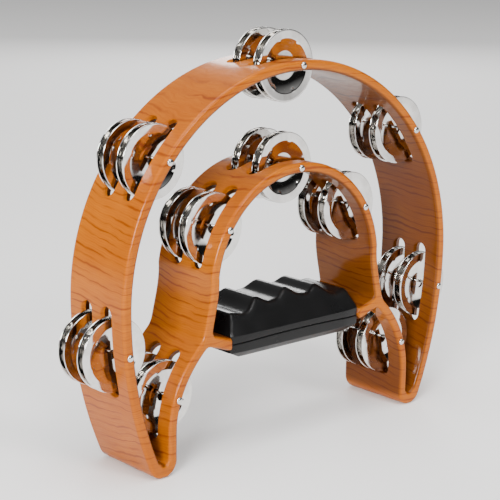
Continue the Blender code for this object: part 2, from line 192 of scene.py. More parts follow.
def softened(points: list[Point], corner: Point, reach: float, steps: int = 6) -> list[Point]:
    """Round one corner of an outline.

    Args:
        points: The outline, not closed.
        corner: The corner's place.
        reach: Distance along the outline at which the rounding starts and ends.
        steps: Number of steps in the rounding.

    Returns:
        The outline with that corner rounded.
    """
    k = min(range(len(points)), key=lambda i: math.dist(points[i], corner))
    before, start = along(points, k, reach, -1)
    after, end = along(points, k, reach, 1)
    bend = []
    for i in range(steps + 1):
        t = i / steps
        weights = ((1 - t) ** 2, 2 * t * (1 - t), t * t)
        x, z = (sum(w * p[j] for w, p in zip(weights, (start, points[k], end))) for j in (0, 1))
        bend.append((x, z))
    return joined(points[:before + 1], bend, points[after:])


def soft_min(a: float, b: float, reach: float) -> float:
    """Lesser of two numbers, rounded where they are closer than a reach.

    Args:
        a: First number.
        b: Second number.
        reach: Difference under which the rounding starts.

    Returns:
        The lesser, lowered by up to a quarter of the reach.
    """
    overlap = max(0.0, reach - abs(a - b)) / reach
    return min(a, b) - overlap * overlap * reach / 4


def signed_area(loop: list[Point]) -> float:
    """Area of a closed loop.

    Args:
        loop: Points of the loop.

    Returns:
        The area, above zero when the loop runs anticlockwise.
    """
    pairs = zip(loop, loop[1:] + loop[:1])
    return sum(a[0] * b[1] - b[0] * a[1] for a, b in pairs) / 2


def loop_normals(loop: list[Point]) -> list[Point]:
    """Unit normals of a closed loop.

    Args:
        loop: Points of the loop.

    Returns:
        For each point, the normal on the right of the way that the loop runs.
    """
    normals = []
    for i, here in enumerate(loop):
        last, following = loop[i - 1], loop[(i + 1) % len(loop)]
        to_here = Vector((here[0] - last[0], here[1] - last[1])).normalized()
        from_here = Vector((following[0] - here[0], following[1] - here[1])).normalized()
        way = (to_here + from_here).normalized()
        normals.append((way.y, -way.x))
    return normals


def rounded_corners(corners: list[Point], radii: list[float], steps: int) -> list[Point]:
    """Open outline with an arc at each inner corner.

    Args:
        corners: Corner points, the two ends included.
        radii: Radius at each corner. Those of the ends aren't used.
        steps: Steps in each arc.

    Returns:
        The rounded outline, always with the same number of points for the same corners.
    """
    points = [corners[0]]
    for i in range(1, len(corners) - 1):
        here = Vector(corners[i])
        back = Vector(corners[i - 1]) - here
        ahead = Vector(corners[i + 1]) - here
        half_angle = back.angle(ahead, math.pi) / 2
        reach = min(radii[i] / math.tan(half_angle), 0.45 * back.length, 0.45 * ahead.length)
        start, end = here + back.normalized() * reach, here + ahead.normalized() * reach
        for j in range(steps + 1):
            t = j / steps
            spot = start * (1 - t) ** 2 + here * 2 * t * (1 - t) + end * t * t
            points.append((spot.x, spot.y))
    return points + [corners[-1]]


# ---- meshes -------------------------------------------------------------------------
def mesh_object(name: str, mesh: bpy.types.Mesh) -> bpy.types.Object:
    """Put a mesh in the scene.

    Args:
        name: The object's name.
        mesh: Its mesh.

    Returns:
        The object.
    """
    item = bpy.data.objects.new(name, mesh)
    bpy.context.scene.collection.objects.link(item)
    return item


def mesh_from(name: str, verts: list[Vector], faces: list[tuple[int, ...]]) -> bpy.types.Mesh:
    """Make a mesh whose faces all point out.

    Args:
        name: The mesh's name.
        verts: Its points.
        faces: Point numbers of each face.

    Returns:
        The mesh.
    """
    bm = bmesh.new()
    made = [bm.verts.new(v) for v in verts]
    for face in faces:
        bm.faces.new([made[i] for i in face])
    bmesh.ops.recalc_face_normals(bm, faces=bm.faces)
    mesh = bpy.data.meshes.new(name)
    bm.to_mesh(mesh)
    bm.free()
    return mesh


def lofted(name: str, rings: list[list[Vector]], capped: bool = True) -> bpy.types.Mesh:
    """Skin over closed rings of equal size.

    Args:
        name: The mesh's name.
        rings: The rings, in order.
        capped: Whether the first and the last ring are closed with a face.

    Returns:
        The mesh, faces pointing out.
    """
    count = len(rings[0])
    verts = [v for ring in rings for v in ring]
    faces: list[tuple[int, ...]] = []
    for r in range(len(rings) - 1):
        for i in range(count):
            j = (i + 1) % count
            a, b = r * count, (r + 1) * count
            faces.append((a + i, a + j, b + j, b + i))
    if capped:
        last = (len(rings) - 1) * count
        faces.append(tuple(range(count)))
        faces.append(tuple(last + i for i in range(count)))
    return mesh_from(name, verts, faces)


def prism(name: str, loop: list[Point], near_y: float, far_y: float) -> bpy.types.Mesh:
    """Solid between two planes square to Y.

    Args:
        name: The mesh's name.
        loop: Outline in X and Z.
        near_y: Where it starts.
        far_y: Where it ends.

    Returns:
        The mesh.
    """
    return lofted(name, [[Vector((x, y, z)) for x, z in loop] for y in (near_y, far_y)])


def merged(name: str, meshes: list[bpy.types.Mesh]) -> bpy.types.Mesh:
    """Make one mesh from several that don't touch.

    Args:
        name: The new mesh's name.
        meshes: What it is made from.

    Returns:
        The mesh.
    """
    bm = bmesh.new()
    for mesh in meshes:
        bm.from_mesh(mesh)
    one = bpy.data.meshes.new(name)
    bm.to_mesh(one)
    bm.free()
    return one


def cut(name: str, body: bpy.types.Mesh, cutters: list[bpy.types.Mesh]) -> bpy.types.Mesh:
    """Cut one mesh by others, one after another.

    Args:
        name: Name of the result.
        body: What is cut. Its faces keep material 0.
        cutters: Closed meshes. The faces that they leave have material 1.

    Returns:
        The cut mesh.
    """
    target = mesh_object(name + "_uncut", body)
    for _ in range(2):
        body.materials.append(None)
    helpers = []
    for number, cutter in enumerate(cutters):
        for _ in range(2):
            cutter.materials.append(None)
        for face in cutter.polygons:
            face.material_index = 1
        helper = mesh_object(f"{name}_cutter_{number}", cutter)
        modifier = target.modifiers.new(f"cut_{number}", "BOOLEAN")
        modifier.operation = "DIFFERENCE"
        modifier.solver = "EXACT"
        modifier.object = helper
        helpers.append(helper)
    depsgraph = bpy.context.evaluated_depsgraph_get()
    result = bpy.data.meshes.new_from_object(target.evaluated_get(depsgraph))
    result.name = name
    result.materials.clear()
    for item in (target, *helpers):
        bpy.data.objects.remove(item, do_unlink=True)
    return result


def shade(mesh: bpy.types.Mesh, sharp_deg: float) -> None:
    """Shade a mesh smooth, apart from its sharp edges.

    Args:
        mesh: The mesh.
        sharp_deg: Angle above which an edge is sharp.
    """
    mesh.shade_smooth()
    mesh.set_sharp_from_angle(angle=math.radians(sharp_deg))


def turned_mesh(name: str, profile: list[Point], segments: int) -> bpy.types.Mesh:
    """Solid of revolution about Y.

    Args:
        name: The mesh's name.
        profile: Closed profile of (radius, y) points. Points on the axis have radius 0.
        segments: Segments round the axis.

    Returns:
        The mesh.
    """
    bm = bmesh.new()
    rings = []
    for radius, y in profile:
        if radius < 1e-9:
            rings.append([bm.verts.new((0.0, y, 0.0))])
            continue
        ring = []
        for i in range(segments):
            a = 2 * math.pi * i / segments
            ring.append(bm.verts.new((radius * math.cos(a), y, radius * math.sin(a))))
        rings.append(ring)
    for a, b in zip(rings, rings[1:] + rings[:1]):
        for i in range(segments):
            j = (i + 1) % segments
            corners = [a[i % len(a)], a[j % len(a)], b[j % len(b)], b[i % len(b)]]
            unique = list(dict.fromkeys(corners))
            if len(unique) > 2:
                bm.faces.new(unique)
    bmesh.ops.recalc_face_normals(bm, faces=bm.faces)
    mesh = bpy.data.meshes.new(name)
    bm.to_mesh(mesh)
    bm.free()
    return mesh


# ---- finishes -----------------------------------------------------------------------
class NodeSheet:
    """A material's node tree, with short ways to add nodes and join them."""

    def __init__(self, name: str) -> None:
        """Make the material with its shader.

        Args:
            name: The material's name.
        """
        self.material = bpy.data.materials.new(name)
        self.material.use_nodes = True
        self.tree = self.material.node_tree
        self.shader = self.tree.nodes["Principled BSDF"]
        coordinates = self.add("ShaderNodeTexCoord")
        self.place = coordinates.outputs["Object"]
        self.facing = coordinates.outputs["Normal"]

    def add(self, kind: str, **settings: object) -> bpy.types.Node:
        """Add a node.

        Args:
            kind: The node's type.
            settings: Its properties.

        Returns:
            The node.
        """
        node = self.tree.nodes.new(kind)
        for key, value in settings.items():
            setattr(node, key, value)
        return node

    def feed(self, socket: bpy.types.NodeSocket, value: object) -> None:
        """Join an output to a socket, or set the socket.

        Args:
            socket: The socket.
            value: An output or a plain value.
        """
        if isinstance(value, bpy.types.NodeSocket):
            self.tree.links.new(value, socket)
        else:
            socket.default_value = value

    def math(self, operation: str, *values: object) -> bpy.types.NodeSocket:
        """Result of a sum on sockets or numbers.

        Args:
            operation: The sum, such as MULTIPLY.
            values: Its inputs.

        Returns:
            The output socket.
        """
        node = self.add("ShaderNodeMath", operation=operation)
        for socket, value in zip(node.inputs, values):
            self.feed(socket, value)
        return node.outputs[0]

    def noise(self, place: object, scale: float, detail: float, rough: float = 0.5
              ) -> bpy.types.NodeSocket:
        """Soft noise from 0 to 1.

        Args:
            place: Where it is read.
            scale: Size of its pattern, in waves to a metre.
            detail: Octaves.
            rough: Strength of each finer octave.

        Returns:
            The output socket.
        """
        node = self.add("ShaderNodeTexNoise")
        self.feed(node.inputs["Vector"], place)
        node.inputs["Scale"].default_value = scale
        node.inputs["Detail"].default_value = detail
        node.inputs["Roughness"].default_value = rough
        return node.outputs["Fac"]

    def stretch(self, place: object, scale: Colour) -> bpy.types.NodeSocket:
        """Places scaled along each axis.

        Args:
            place: Where the pattern is read.
            scale: Scale along X, Y and Z.

        Returns:
            The output socket.
        """
        node = self.add("ShaderNodeVectorMath", operation="MULTIPLY")
        self.feed(node.inputs[0], place)
        node.inputs[1].default_value = scale
        return node.outputs[0]

    def span(self, value: object, low: float, high: float, to_low: float, to_high: float
             ) -> bpy.types.NodeSocket:
        """Map a range to another with a smooth step.

        Args:
            value: What is mapped.
            low: Start of its range.
            high: End of its range.
            to_low: Result at the start.
            to_high: Result at the end.

        Returns:
            The output socket.
        """
        node = self.add("ShaderNodeMapRange", interpolation_type="SMOOTHSTEP")
        for socket, number in zip(node.inputs, (value, low, high, to_low, to_high)):
            self.feed(socket, number)
        return node.outputs[0]

    def mix(self, share: object, first: object, second: object, way: str = "MIX"
            ) -> bpy.types.NodeSocket:
        """Blend two colours.

        Args:
            share: How much of the second there is.
            first: A colour or a socket.
            second: A colour or a socket.
            way: How they are blended.

        Returns:
            The output socket.
        """
        node = self.add("ShaderNodeMix", data_type="RGBA", blend_type=way)
        sockets = [s for s in node.inputs if s.type == "RGBA"]
        self.feed(node.inputs["Factor"], share)
        for socket, colour in zip(sockets, (first, second)):
            is_socket = isinstance(colour, bpy.types.NodeSocket)
            self.feed(socket, colour if is_socket else (*colour, 1.0))
        return next(s for s in node.outputs if s.type == "RGBA")

    def bump(self, height: object, strength: float, distance: float) -> None:
        """Raise the surface by a height.

        Args:
            height: Height from 0 to 1.
            strength: Strength of the effect.
            distance: Depth in metres at full height.
        """
        node = self.add("ShaderNodeBump")
        node.inputs["Strength"].default_value = strength
        node.inputs["Distance"].default_value = distance
        self.feed(node.inputs["Height"], height)
        self.tree.links.new(node.outputs["Normal"], self.shader.inputs["Normal"])

    def set(self, **values: object) -> None:
        """Set the shader's own sockets, with _ for a space in their names."""
        for key, value in values.items():
            self.feed(self.shader.inputs[key.replace("_", " ")], value)


@dataclass(frozen=True)
class WoodPrint:
    """Glossy moulded plastic with a printed wood grain, and painted shade on the faces that look
    into the arches.
    """

    light: Colour = (0.420, 0.112, 0.0)
    deep: Colour = (0.310, 0.070, 0.0)
    line: Colour = (0.175, 0.026, 0.0)
    period: float = 0.0041
    bends: tuple[Point, ...] = ((7.0, 0.030), (24.0, 0.0070), (95.0, 0.0018))
    # painted shade: share of the print's colour kept on faces that look into the arches, standing
    # in for the frame's own shade
    painted_inner_shade: float = 0.34
    middle: Colour = (0.0, 0.0, 0.094)

    def grain_height(self, sheet: NodeSheet) -> bpy.types.NodeSocket:
        """Field whose level lines are the grain.

        Args:
            sheet: The material's nodes.

        Returns:
            Height in metres, bent by soft noise.
        """
        split = sheet.add("ShaderNodeSeparateXYZ")
        sheet.feed(split.inputs[0], sheet.place)
        height = split.outputs["Z"]
        for scale, lift in self.bends:
            soft = sheet.noise(sheet.stretch(sheet.place, (1.0, 1.4, 1.0)), scale, 1.0)
            height = sheet.math("MULTIPLY_ADD", soft, lift, height)
        return height

    def streaks(self, sheet: NodeSheet, height: bpy.types.NodeSocket, across: float
                ) -> bpy.types.NodeSocket:
        """Places that are stretched along the grain.

        Args:
            sheet: The material's nodes.
            height: The grain's height.
            across: Waves to a metre across the grain.

        Returns:
            The output socket.
        """
        split = sheet.add("ShaderNodeSeparateXYZ")
        sheet.feed(split.inputs[0], sheet.stretch(sheet.place, (60.0, 60.0, 60.0)))
        combine = sheet.add("ShaderNodeCombineXYZ")
        for axis in "XY":
            sheet.feed(combine.inputs[axis], split.outputs[axis])
        sheet.feed(combine.inputs["Z"], sheet.math("MULTIPLY", height, across))
        return combine.outputs[0]

    def painted_shade_mask(self, sheet: NodeSheet) -> bpy.types.NodeSocket:
        """How much a face looks towards the middle of the arches, which sets where painted shade
        darkens the print.

        Args:
            sheet: The material's nodes.

        Returns:
            The output socket, from 0 to 1.
        """
        out = sheet.add("ShaderNodeVectorMath", operation="SUBTRACT")
        sheet.feed(out.inputs[0], sheet.place)
        out.inputs[1].default_value = self.middle
        way = sheet.add("ShaderNodeVectorMath", operation="NORMALIZE")
        sheet.feed(way.inputs[0], sheet.stretch(out.outputs[0], (1.0, 0.0, 1.0)))
        dot = sheet.add("ShaderNodeVectorMath", operation="DOT_PRODUCT")
        sheet.feed(dot.inputs[0], way.outputs[0])
        sheet.feed(dot.inputs[1], sheet.facing)
        return sheet.span(dot.outputs["Value"], -0.75, -0.15, 1.0, 0.0)

    def build(self) -> bpy.types.Material:
        """Make the material.

        Returns:
            The material.
        """
        sheet = NodeSheet("wood_print")
        height = self.grain_height(sheet)
        wave = sheet.math("PINGPONG", sheet.math("DIVIDE", height, self.period), 0.5)
        along = self.streaks(sheet, height, 420.0)
        width = sheet.span(sheet.noise(along, 0.9, 2.0), 0.30, 0.70, 0.06, 0.32)
        strong = sheet.span(sheet.noise(along, 0.55, 3.0), 0.36, 0.60, 0.06, 0.9)
        edge = sheet.math("DIVIDE", wave, width)
        line = sheet.math("MULTIPLY", sheet.span(edge, 0.0, 1.0, 1.0, 0.0), strong)
        second = sheet.math("PINGPONG", sheet.math("DIVIDE", height, 0.31 * self.period), 0.5)
        faint = sheet.math("MULTIPLY", sheet.span(second, 0.0, 0.3, 0.35, 0.0),
                           sheet.noise(along, 1.4, 2.0))
        fine = self.streaks(sheet, height, 1300.0)
        fibre = sheet.noise(fine, 1.0, 3.0, 0.6)
        tone = sheet.math("MULTIPLY_ADD", fibre, 0.5, sheet.noise(sheet.place, 20.0, 2.0))
        ground = sheet.mix(sheet.span(tone, 0.45, 1.05, 0.0, 1.0), self.light, self.deep)
        pore = sheet.span(sheet.noise(fine, 2.2, 2.0, 0.7), 0.62, 0.76, 0.0, 0.35)
        lines = sheet.math("MAXIMUM", line, faint)
        printed = sheet.mix(sheet.math("MAXIMUM", lines, pore), ground, self.line)
        # painted shade: faces that look into the arches are darkened as if the frame shaded them
        painted_shade_tint = sheet.mix(self.painted_shade_mask(sheet), (1.0, 1.0, 1.0), (self.painted_inner_shade,) * 3)
        sheet.set(Base_Color=sheet.mix(1.0, printed, painted_shade_tint, "MULTIPLY"))
        sheet.set(Roughness=sheet.span(fibre, 0.2, 0.8, 0.34, 0.46))
        sheet.set(Specular_IOR_Level=0.1, Coat_Weight=0.4, Coat_Roughness=0.12, Coat_IOR=1.34)
        sheet.bump(sheet.noise(sheet.place, 210.0, 2.0), 0.25, 0.0002)
        return sheet.material


@dataclass(frozen=True)
class SlotWallPaintedShade:
    """Bare moulded plastic inside the slots, under the print, darkened further with painted shade
    for the slots' shaded walls.
    """

    # painted shade: darker than the printed faces for the shade inside the slots; partly the bare
    # plastic's own colour
    colour: Colour = (0.22, 0.036, 0.002)
    dark: Colour = (0.14, 0.018, 0.001)

    def build(self) -> bpy.types.Material:
        """Make the material.

        Returns:
            The material.
        """
        sheet = NodeSheet("slot_wall_painted_shade")
        cloud = sheet.noise(sheet.place, 160.0, 3.0)
        # painted shade: the slot walls get the darkened colours
        sheet.set(Base_Color=sheet.mix(cloud, self.colour, self.dark))
        sheet.set(Roughness=sheet.span(cloud, 0.3, 0.7, 0.28, 0.4))
        sheet.set(IOR=1.5, Coat_Weight=0.3, Coat_Roughness=0.15)
        sheet.bump(sheet.noise(sheet.place, 700.0, 2.0), 0.2, 0.0001)
        return sheet.material


@dataclass(frozen=True)
class BlackPlastic:
    """Satin black plastic with a fine spark-eroded texture."""

    colour: Colour = (0.002, 0.002, 0.0021)
    worn: Colour = (0.004, 0.004, 0.0042)

    def build(self) -> bpy.types.Material:
        """Make the material.

        Returns:
            The material.
        """
        sheet = NodeSheet("black_plastic")
        cloud = sheet.noise(sheet.place, 55.0, 4.0)
        grain = sheet.noise(sheet.place, 2600.0, 2.0)
        sheet.set(Base_Color=sheet.mix(cloud, self.colour, self.worn))
        sheet.set(Roughness=sheet.span(cloud, 0.3, 0.7, 0.27, 0.34))
        sheet.set(IOR=1.45, Specular_IOR_Level=0.28)
        sheet.bump(grain, 0.12, 0.00006)
        return sheet.material


@dataclass(frozen=True)
class BrightPlate:
    """Polished plated steel, with faint polishing marks and haze."""

    name: str = "bright_plate"
    colour: Colour = (0.76, 0.75, 0.73)
    haze: Colour = (0.62, 0.60, 0.58)
    smooth: float = 0.045
    dull: float = 0.11

    def build(self) -> bpy.types.Material:
        """Make the material.

        Returns:
            The material.
        """
        sheet = NodeSheet(self.name)
        cloud = sheet.noise(sheet.place, 130.0, 4.0, 0.6)
        sheet.set(Base_Color=sheet.mix(sheet.span(cloud, 0.35, 0.75, 0.0, 1.0),
                                       self.colour, self.haze))
        sheet.set(Roughness=sheet.span(cloud, 0.35, 0.75, self.smooth, self.dull))
        sheet.set(Metallic=1.0, IOR=2.2)
        return sheet.material


# ---- the moulded frame --------------------------------------------------------------
@dataclass
class Ribbon:
    """Middle line of a strip, with the strip's normal and half thickness along it."""

    spots: list[Vector]
    normals: list[Vector]
    halves: list[float]

    def at(self, station: Point, distance: float) -> tuple[Vector, Vector, float]:
        """Place on the strip at a distance from a station.

        Args:
            station: The station's x and z.
            distance: Distance along the strip, downwards on the right half.

        Returns:
            The place and the normal, as vectors of x and z, and the half thickness.
        """
        here = Vector(station)
        k = min(range(len(self.spots)), key=lambda i: (self.spots[i] - here).length)
        way = 1 if distance > 0 else -1
        left = abs(distance)
        while 0 <= k + way < len(self.spots):
            length = (self.spots[k + way] - self.spots[k]).length
            if length >= left:
                t = left / length
                normal = self.normals[k].lerp(self.normals[k + way], t).normalized()
                half = self.halves[k] + (self.halves[k + way] - self.halves[k]) * t
                return self.spots[k].lerp(self.spots[k + way], t), normal, half
            left -= length
            k += way
        beyond = (self.spots[k] - self.spots[k - way]).normalized() * left
        return self.spots[k] + beyond, self.normals[k], self.halves[k]


@dataclass
class MouldedFrame:
    """Outer arch, inner arch, forked legs and crossbar, moulded in one piece."""

    depth: float = 0.048
    outer_arch_z: float = 0.0942
    outer_arch_r: float = 0.1192
    outer_leg_r: float = 0.222
    outer_t: float = 0.0062
    foot_r: float = 0.00912
    foot_flat: float = 0.004
    notch_r: float = 0.0026
    notch_z: float = 0.0098
    inner_arch_z: float = 0.0960
    inner_arch_r: float = 0.0610
    inner_t: float = 0.0058
    arch_end_deg: float = 8.0
    leg_z: float = 0.0227
    leg_out_x: float = 0.0924
    knee_out: Point = (0.0690, 0.0712)
    bar_t: float = 0.0065
    bar_knee: Point = (0.0660, 0.0707)
    bar_grip: Point = (0.0505, 0.0656)
    bar_flat: Point = (0.0450, 0.0648)
    bar_depth_in_grip: float = 0.038
    bar_narrow_x: float = 0.0494
    bar_meets_arch_x: float = 0.0622
    bar_meets_leg_x: float = 0.0652
    leg_out_pull_z: float = 0.0400
    leg_in_pull_z: float = 0.0380
    knee_leg_pull: Point = (0.0853, 0.0565)
    bar_leg_pull: Point = (0.0805, 0.0535)
    knee_arch_pull: Point = (0.0659, 0.0850)
    arch_out_pull: Point = (0.0627, 0.0940)
    arch_in_pull: Point = (0.0569, 0.0940)
    bar_arch_pull: Point = (0.0600, 0.0850)
    notch_start_deg: float = -20.0
    edge_round: float = 0.0020
    edge_steps: int = 5
    arch_steps: int = 72
    inner_steps: int = 48
    leg_steps: int = 30
    knee_steps: int = 14
    foot_steps: int = 12
    leg_rungs: tuple[float, ...] = (0.012, 0.016, 0.019, 0.021)
    knee_soft: float = 0.0035
    corner_soft: float = 0.0026
    slot_length: float = 0.0500
    slot_width: float = 0.0094
    slot_y: float = 0.0085
    slot_lip: float = 0.0009
    slot_past: float = 0.0022
    slot_steps: int = 14
    lip_turns_deg: tuple[float, ...] = (0.0, 25.0, 50.0, 75.0)
    flare_rise: float = 0.0003
    flare_out: float = 0.0011
    cutter_past: float = 0.0020
    bore_r: float = 0.0013
    bore_mouth_r: float = 0.0024
    bore_mouth_depth: float = 0.0005
    bore_end_y: float = 0.0220
    stations: dict[str, Point] = field(default_factory=lambda: {
        "outer_top": (0.0, 0.2134),
        "outer_high": (0.0921, 0.1698),
        "outer_low": (0.1180, 0.0711),
        "inner_top": (0.0, 0.1570),
        "inner_side": (0.0514, 0.1289),
        "leg": (0.0860, 0.0415),
    })

    def leg_centre(self) -> Point:
        """Centre of the radius on which the right outer leg runs."""
        return (self.outer_arch_r - self.outer_leg_r, self.outer_arch_z)

    def foot_centre(self) -> Point:
        """Centre of the right foot's round end.

        Returns:
            Its x and z, with the flat on the underside not yet allowed for.
        """
        reach = self.outer_leg_r + self.outer_t / 2 - self.foot_r
        rise = self.outer_arch_z - self.foot_r
        return (self.leg_centre()[0] + math.sqrt(reach ** 2 - rise ** 2), self.foot_r)

    def foot_drop(self) -> float:
        """Height lost where the round foot is flattened."""
        return self.foot_r - math.sqrt(self.foot_r ** 2 - (self.foot_flat / 2) ** 2)

    def leg_in_x(self) -> float:
        """Inside of an inner leg, where it runs straight down."""
        return self.foot_centre()[0] - self.foot_r

    def bar_line(self, side: int) -> list[Point]:
        """Face of the crossbar's right half.

        Args:
            side: 1 for the upper face, -1 for the lower.

        Returns:
            Points from the middle outwards.
        """
        slope = ((self.bar_knee[1] - self.bar_grip[1]) / (self.bar_knee[0] - self.bar_grip[0]))
        lift = side * self.bar_t / 2
        sloped = lift * math.hypot(1.0, slope)
        end_x = self.bar_meets_arch_x if side > 0 else self.bar_meets_leg_x
        end_z = self.bar_grip[1] + slope * (end_x - self.bar_grip[0]) + sloped
        return [(self.bar_flat[0], self.bar_flat[1] + lift),
                (self.bar_grip[0], self.bar_grip[1] + sloped), (end_x, end_z)]

    def leg_bend(self, outside: bool) -> list[Point]:
        """Edge of the right inner leg where it bends towards the knee.

        Args:
            outside: True for the edge on the crescent's side.

        Returns:
            Points from the straight leg up to the knee.
        """
        if outside:
            return bezier((self.leg_out_x, self.leg_z), (self.leg_out_x, self.leg_out_pull_z),
                          self.knee_leg_pull, self.knee_out, self.leg_steps)
        x = self.leg_in_x()
        return bezier((x, self.leg_z), (x, self.leg_in_pull_z), self.bar_leg_pull,
                      self.bar_line(-1)[-1], self.leg_steps)

    def outer_edge(self, side: int, start_deg: float, end_deg: float) -> list[Point]:
        """Edge of the outer strip along the arch.

        Args:
            side: 1 for the outer edge, -1 for the inner.
            start_deg: Angle of the first point.
            end_deg: Angle of the last point.

        Returns:
            The points.
        """
        radius = self.outer_arch_r + side * self.outer_t / 2
        return arc((0.0, self.outer_arch_z), radius, start_deg, end_deg, self.arch_steps)

    def arch_foot(self, side: int) -> Point:
        """Right end of an edge of the inner arch.

        Args:
            side: 1 for the outer edge, -1 for the inner.

        Returns:
            The end's x and z.
        """
        radius = self.inner_arch_r + side * self.inner_t / 2
        a = math.radians(self.arch_end_deg)
        return (radius * math.cos(a), self.inner_arch_z + radius * math.sin(a))

    def outside_loop(self) -> list[Point]:
        """Outer contour of the frame, feet and underside included.

        Returns:
            The closed loop.
        """
        centre, leg = self.foot_centre(), self.leg_centre()
        touch = math.degrees(math.atan2(centre[1] - leg[1], centre[0] - leg[0]))
        flat = math.degrees(math.asin(self.foot_flat / 2 / self.foot_r))
        under = self.bar_line(-1)
        half = joined(
            self.outer_edge(1, 90, 0),
            arc(leg, self.outer_leg_r + self.outer_t / 2, 0, touch, 36),
            arc(centre, self.foot_r, touch, -90 + flat, self.foot_steps),
            arc(centre, self.foot_r, -90 - flat, -180, self.foot_steps),
            self.leg_bend(False),
            list(reversed(under)),
            [(0.0, under[0][1])],
        )
        half = softened(half, under[-1], self.corner_soft)
        drop = self.foot_drop()
        return mirrored([(x, z - drop) for x, z in half])

    def crescent_loop(self) -> list[Point]:
        """Gap between the outer and the inner strip.

        Returns:
            The closed loop.
        """
        leg = self.leg_centre()
        radius = self.outer_leg_r - self.outer_t / 2
        notch = (self.leg_out_x + self.notch_r, self.notch_z)
        wall_deg = math.degrees(math.asin((self.notch_z - leg[1]) / radius))
        half = joined(
            self.outer_edge(-1, 90, 0),
            arc(leg, radius, 0, wall_deg, 34),
            arc(notch, self.notch_r, self.notch_start_deg, -180, 10),
            self.leg_bend(True),
            bezier(self.knee_out, self.knee_arch_pull, self.arch_out_pull, self.arch_foot(1),
                   self.knee_steps),
            arc((0.0, self.inner_arch_z), self.inner_arch_r + self.inner_t / 2,
                self.arch_end_deg, 90, self.inner_steps),
        )
        return mirrored(softened(half, self.knee_out, self.knee_soft))

    def finger_loop(self) -> list[Point]:
        """Opening under the inner arch, above the crossbar.

        Returns:
            The closed loop.
        """
        top = self.bar_line(1)
        half = joined(
            arc((0.0, self.inner_arch_z), self.inner_arch_r - self.inner_t / 2,
                90, self.arch_end_deg, self.inner_steps),
            bezier(self.arch_foot(-1), self.arch_in_pull, self.bar_arch_pull, top[-1],
                   self.knee_steps),
            list(reversed(top)),
            [(0.0, top[0][1])],
        )
        return mirrored(softened(half, top[-1], self.corner_soft))

    def rounding(self) -> list[tuple[float, float, float, float]]:
        """Rings across the depth.

        Returns:
            For each ring its y, how far it is set in, and the normal's parts along the
            outline's normal and along Y.
        """
        r, front = self.edge_round, []
        for i in range(self.edge_steps + 1):
            a = math.radians(90 * i / self.edge_steps)
            front.append((-self.depth / 2 + r * (1 - math.cos(a)), r * (1 - math.sin(a)),
                          math.sin(a), -math.cos(a)))
        return front + [(-y, inset, n, -ny) for y, inset, n, ny in reversed(front)]

    def shell(self) -> tuple[bpy.types.Mesh, list[Vector]]:
        """Frame before its slots are cut.

        Returns:
            The mesh and the normal at each of its points.
        """
        loops = [self.outside_loop(), self.crescent_loop(), self.finger_loop()]
        rings = self.rounding()
        verts: list[Vector] = []
        normals: list[Vector] = []
        faces: list[tuple[int, ...]] = []
        caps: list[list[list[int]]] = [[], []]
        for number, loop in enumerate(loops):
            anticlockwise = signed_area(loop) > 0
            if anticlockwise != (number == 0):
                loop = loop[::-1]
            turns = loop_normals(loop)
            start, count = len(verts), len(loop)
            for y, inset, n, ny in rings:
                for (x, z), (nx, nz) in zip(loop, turns):
                    verts.append(Vector((x - inset * nx, y, z - inset * nz)))
                    normals.append(Vector((n * nx, ny, n * nz)))
            for r in range(len(rings) - 1):
                for i in range(count):
                    j = (i + 1) % count
                    a, b = start + r * count, start + (r + 1) * count
                    faces.append((a + i, b + i, b + j, a + j))
            last = start + (len(rings) - 1) * count
            caps[0].append(list(range(start, start + count)))
            caps[1].append(list(range(last, last + count)))
        for cap in caps:
            numbers = [i for ring in cap for i in ring]
            flat = [[Vector((verts[i].x, verts[i].z, 0.0)) for i in ring] for ring in cap]
            for triangle in tessellate_polygon(flat):
                faces.append(tuple(numbers[i] for i in triangle))
        return mesh_from("frame_shell", verts, faces), normals

    def ribbons(self) -> dict[str, Ribbon]:
        """Middle lines of the strips on the right half.

        Returns:
            The outer strip, the inner arch and the inner leg, by name.
        """
        outer, inner = (0.0, self.outer_arch_z), (0.0, self.inner_arch_z)
        leg = self.leg_centre()
        runs = {
            "outer": [(outer, arc(outer, self.outer_arch_r, 125, 0, 125)),
                      (leg, arc(leg, self.outer_leg_r, 0, -24, 60)[1:])],
            "inner": [(inner, arc(inner, self.inner_arch_r, 130, 4, 126))],
        }
        halves = {"outer": self.outer_t / 2, "inner": self.inner_t / 2}
        made = {}
        for name, stretches in runs.items():
            spots = [Vector(p) for _, points in stretches for p in points]
            normals = [(Vector(p) - Vector(centre)).normalized()
                       for centre, points in stretches for p in points]
            made[name] = Ribbon(spots, normals, [halves[name]] * len(spots))
        drop = self.foot_drop()
        pairs = list(zip(self.leg_bend(True), self.leg_bend(False)))
        straight = [((self.leg_out_x, z), (self.leg_in_x(), z)) for z in self.leg_rungs]
        out = [Vector(a) for a, _ in straight + pairs][::-1]
        inside = [Vector((b[0], b[1] - drop)) for _, b in straight + pairs][::-1]
        made["leg"] = Ribbon([(a + b) / 2 for a, b in zip(out, inside)],
                             [(a - b).normalized() for a, b in zip(out, inside)],
                             [(a - b).length / 2 for a, b in zip(out, inside)])
        return made

    def slot_ring(self, grow: float) -> list[Point]:
        """Slot seen square to the strip.

        Args:
            grow: How much wider it is all round.

        Returns:
            Points of distance along the strip and across the depth.
        """
        radius = self.slot_width / 2
        straight = self.slot_length / 2 - radius
        steps = self.slot_steps
        right = arc((straight, 0.0), radius + grow, -90, 90, steps)
        left = arc((-straight, 0.0), radius + grow, 90, 270, steps)
        top = [(straight - 2 * straight * i / steps, radius + grow) for i in range(1, steps)]
        low = [(-straight + 2 * straight * i / steps, -radius - grow) for i in range(1, steps)]
        return right + top + left + low

